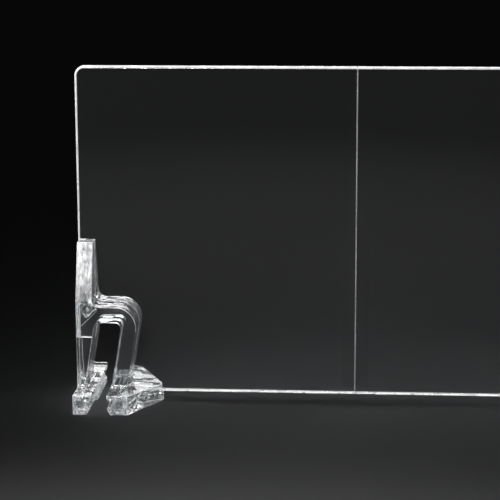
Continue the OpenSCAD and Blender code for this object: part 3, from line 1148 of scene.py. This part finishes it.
@dataclass(frozen=True)
class Bracket:
    """One clear bracket: two moulded halves, the grip pad, end caps and desk pads.

    Attributes:
        side: The end of the panel that it holds.
        edge_break_mm: Radius of the moulded edges.
        grip_break_mm: Radius of the grip pad's edges.
        bond_mm: Gap drawn between a bonded pad and its seat.
        clamp_head_mm: Height of the clamp screw's head.
        tie_head_mm: Height of a tie screw's head.
        clamp_pitch_mm: Pitch of the clamp screw's thread.
        tie_pitch_mm: Pitch of the tie screws' thread.
        thread_mm: Length of a screw's thread.
        cap_dish_mm: Depth of the dish in an end cap.
        shank_share: Each screw's shank diameter as a share of its head's.
    """

    side: Side
    edge_break_mm: float = 0.4
    grip_break_mm: float = 0.3
    bond_mm: float = 0.04
    clamp_head_mm: float = 5.0
    tie_head_mm: float = 3.5
    clamp_pitch_mm: float = 0.8
    tie_pitch_mm: float = 0.7
    thread_mm: float = 12.0
    cap_dish_mm: float = 0.9
    shank_share: ClassVar[dict[str, float]] = {"clamp_screw": 5 / 8.5, "tie_screws": 4 / 7}

    def build(self) -> None:
        """Builds the bracket's pieces."""
        name = self.side.value
        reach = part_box(f"bracket_rear_{name}")[1]
        finishes = {
            Skin.POLISHED: MOULDED_ACRYLIC,
            Skin.BROKEN_EDGE: SCUFFED_EDGE,
            Skin.SIDE: MOULDED_SIDE,
            Skin.FROSTED: FROSTED_FACE,
            Skin.FLOW_MARKED: FLOW_MARKED,
            Skin.GROUND: GROUND_FACE,
        }
        skin = MouldedSkin(
            foot_end=reach.y,
            post_foot=0.65 * reach.z,
            slot_head=0.42 * reach.z,
            foot_top=0.2 * reach.z,
        )
        for half in Half:
            node = f"bracket_{half.value}_{name}"
            piece = RoundedCopy(self.edge_break_mm).make(
                node,
                f"moulded_half_{half.value}_{name}",
                [finishes[place].material() for place in Skin],
                skin,
            )
            settle(piece, self.side, node)
        grip = RoundedCopy(break_mm=self.grip_break_mm, steps=2, inset_mm=self.bond_mm).make(
            f"grip_pad_{name}", f"groove_pad_{name}", [SILICONE.material()]
        )
        settle(grip, self.side, f"grip_pad_{name}")
        self.screws()
        self.nuts()
        self.discs()

    def screws(self) -> None:
        """Builds the clamp screw and the tie screws."""
        tree = screw_tree()
        for node, head_height, pitch in (
            ("clamp_screw", self.clamp_head_mm, self.clamp_pitch_mm),
            ("tie_screws", self.tie_head_mm, self.tie_pitch_mm),
        ):
            boxes = solid_boxes(f"{node}_{self.side.value}")
            low, high = boxes[0]
            head_width = high.x - low.x
            shank_width = head_width * self.shank_share[node]
            piece = tree.grow(
                f"{node}_turned_{self.side.value}",
                [Anchor(outer_middle(box, Facing.FRONT), Facing.FRONT) for box in boxes],
                POLYCARBONATE.material(),
                {
                    "Head Width": head_width,
                    "Head Height": head_height * MM,
                    "Shank Width": shank_width,
                    "Length": high.y - low.y - SHANK_START * head_height * MM,
                    "Thread Length": self.thread_mm * MM,
                    "Pitch": pitch * MM,
                    "Thread Depth": 0.5 * pitch * MM,
                    "Chamfer": 0.4 * MM,
                    "Socket Width": 0.5 * head_width,
                },
            )
            settle(piece, self.side, f"{node}_{self.side.value}")

    def nuts(self) -> None:
        """Builds the nuts on the screws' ends."""
        tree = nut_tree()
        for node, screw in (("clamp_nut", "clamp_screw"), ("tie_nuts", "tie_screws")):
            boxes = solid_boxes(f"{node}_{self.side.value}")
            low, high = boxes[0]
            screw_low, screw_high = solid_boxes(f"{screw}_{self.side.value}")[0]
            shank_width = (screw_high.x - screw_low.x) * self.shank_share[screw]
            piece = tree.grow(
                f"{node}_moulded_{self.side.value}",
                [Anchor(outer_middle(box, Facing.BACK), Facing.BACK) for box in boxes],
                POLYCARBONATE.material(),
                {
                    "Flats": high.x - low.x,
                    "Height": high.y - low.y,
                    "Bore": shank_width + 2 * self.bond_mm * MM,
                    "Chamfer": 0.35 * MM,
                },
            )
            settle(piece, self.side, f"{node}_{self.side.value}")

    def discs(self) -> None:
        """Builds the dished caps in the ends of the feet and the flat pads under them."""
        tree = disc_tree()
        for node, name, finish, slot, dish_mm, rim, gap_mm in (
            ("end_caps", "foot_caps", FROSTED_CAP, "cap", self.cap_dish_mm, 0.34, 0.0),
            ("desk_pads", "bonded_pads", POLYURETHANE, "desk_pad", 0.0, 0.3, self.bond_mm),
        ):
            anchors = []
            for low, high in solid_boxes(f"{node}_{self.side.value}"):
                facing, thickness = Facing.DOWN, high.z - low.z
                if node == "end_caps":
                    facing = Facing.FRONT if low.y < 0 else Facing.BACK
                    thickness = high.y - low.y
                anchors.append(Anchor(outer_middle((low, high), facing), facing, high.x - low.x))
            piece = tree.grow(
                f"{name}_{self.side.value}",
                anchors,
                finish.material(),
                {"Thickness": thickness - gap_mm * MM, "Dish": dish_mm * MM, "Rim": rim},
            )
            settle(piece, self.side, f"{node}_{self.side.value}")


# ---- studio


def hung_lamp(data: bpy.types.Light, at: Vector, aim: Vector) -> bpy.types.Object:
    """Hangs a lamp.

    Args:
        data: The lamp's data.
        at: Its place.
        aim: The point that it looks at.

    Returns:
        The lamp.
    """
    lamp = new_object(data.name, data)
    lamp.location = at
    lamp.rotation_euler = (aim - at).to_track_quat("-Z", "Y").to_euler()
    return lamp


@dataclass(frozen=True)
class SoftBox:
    """A large soft lamp.

    Attributes:
        name: Its place in the studio.
        at: Its middle.
        aim: The point that it looks at.
        size: Its width and height.
        power: Its output in watts.
        lit: The only pieces that it lights.
    """

    name: str
    at: Vector
    aim: Vector
    size: tuple[float, float]
    power: float
    lit: bpy.types.Collection

    def hang(self) -> None:
        """Adds the lamp to the scene, out of the camera's sight."""
        data = bpy.data.lights.new(self.name, "AREA")
        data.shape = "RECTANGLE"
        data.size, data.size_y = self.size
        data.energy = self.power
        lamp = hung_lamp(data, self.at, self.aim)
        lamp.visible_camera = False
        lamp.light_linking.receiver_collection = self.lit


@dataclass(frozen=True)
class Studio:
    """The floor, the soft light and the camera.

    Attributes:
        eye: The camera's place.
        yaw: Its turn to the left, in degrees.
        dip: Its tilt below level, in degrees.
        roll: Its roll, in degrees.
        lens_mm: Its focal length on a 36 mm wide sensor.
    """

    eye: Vector = Vector((15 * MM, -1579 * MM, 481 * MM))
    yaw: float = 4.01
    dip: float = 12.07
    roll: float = 0.19
    lens_mm: float = 128.95

    def camera(self) -> None:
        """Sets up the camera."""
        data = bpy.data.cameras.new("view")
        data.sensor_width = 36.0
        data.lens = self.lens_mm
        data.clip_start = 0.05
        data.clip_end = 30.0
        eye = new_object("view", data)
        turn = Matrix.Rotation(math.radians(self.yaw), 4, "Z")
        tilt = Matrix.Rotation(math.radians(90 - self.dip), 4, "X")
        roll = Matrix.Rotation(math.radians(-self.roll), 4, "Z")
        eye.matrix_world = Matrix.Translation(self.eye) @ turn @ tilt @ roll
        bpy.context.scene.camera = eye

    def floor(self) -> None:
        """Lays the pale floor."""
        mesh = bpy.data.meshes.new("studio_floor")
        reach = 6.0
        drop = -0.1 * MM
        corners = [(-reach, -reach, drop), (reach, -reach, drop), (reach, reach, drop)]
        mesh.from_pydata([*corners, (-reach, reach, drop)], [], [(0, 1, 2, 3)])
        floor = new_object("studio_floor", mesh)
        paper = bpy.data.materials.new("seamless_paper_pale")
        paper.use_nodes = True
        shader = paper.node_tree.nodes["Principled BSDF"]
        shader.inputs["Base Color"].default_value = linear("#D0D1D2")
        shader.inputs["Roughness"].default_value = 0.85
        mesh.materials.append(paper)
        floor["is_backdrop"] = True

    def light(self) -> None:
        """Hangs the soft lamps and sets the dim room round them.

        The soft boxes light only the panel, so that its edges stand out on a dim floor. Light
        focused by the plastic is left out, or it would fill the floor behind the panel.
        """
        scene = bpy.context.scene
        scene.view_settings.view_transform = "Standard"
        scene.cycles.caustics_reflective = False
        scene.cycles.caustics_refractive = False
        world = bpy.data.worlds.new("dim_room")
        world.use_nodes = True
        shade = world.node_tree.nodes["Background"]
        shade.inputs["Color"].default_value = linear("#FFFFFF")
        shade.inputs["Strength"].default_value = 0.003
        scene.world = world
        # The spot lights the floor in front, which the panel's faces mirror.
        pool = bpy.data.lights.new("pool", "SPOT")
        pool.energy = 20
        pool.spot_size = math.radians(60)
        pool.spot_blend = 1.0
        pool.shadow_soft_size = 0.1
        hung_lamp(pool, Vector((-0.1, -0.7, 1.5)), Vector((-0.1, -0.9, 0)))
        aim = Vector((0.0, 0.0, 0.1))
        lit = bpy.data.collections.new("panel_pieces")
        for name, at, size, power in (
            ("overhead", (0.0, 0.15, 1.5), (2.2, 0.5), 42),
            ("left_strip", (-1.3, 0.4, 0.7), (0.6, 1.3), 24),
            ("right_strip", (1.3, 0.4, 0.7), (0.6, 1.3), 24),
            ("behind", (0.0, 2.4, 0.95), (2.6, 0.5), 14),
            ("front", (-0.7, -2.0, 1.5), (0.9, 0.5), 60),
        ):
            SoftBox(name, Vector(at), aim, size, power, lit).hang()

    def gather(self) -> None:
        """Puts the panel's pieces in the light of the soft boxes."""
        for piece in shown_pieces():
            bpy.data.collections["panel_pieces"].objects.link(piece)


def main() -> None:
    """Builds the studio and the panel in order."""
    logging.basicConfig(level=logging.INFO, format="%(name)s: %(message)s")
    studio = Studio()
    studio.camera()
    studio.floor()
    studio.light()
    for side in Side:
        SheetWing(side).build()
        Bracket(side).build()
    studio.gather()


if __name__ == "__main__":
    main()
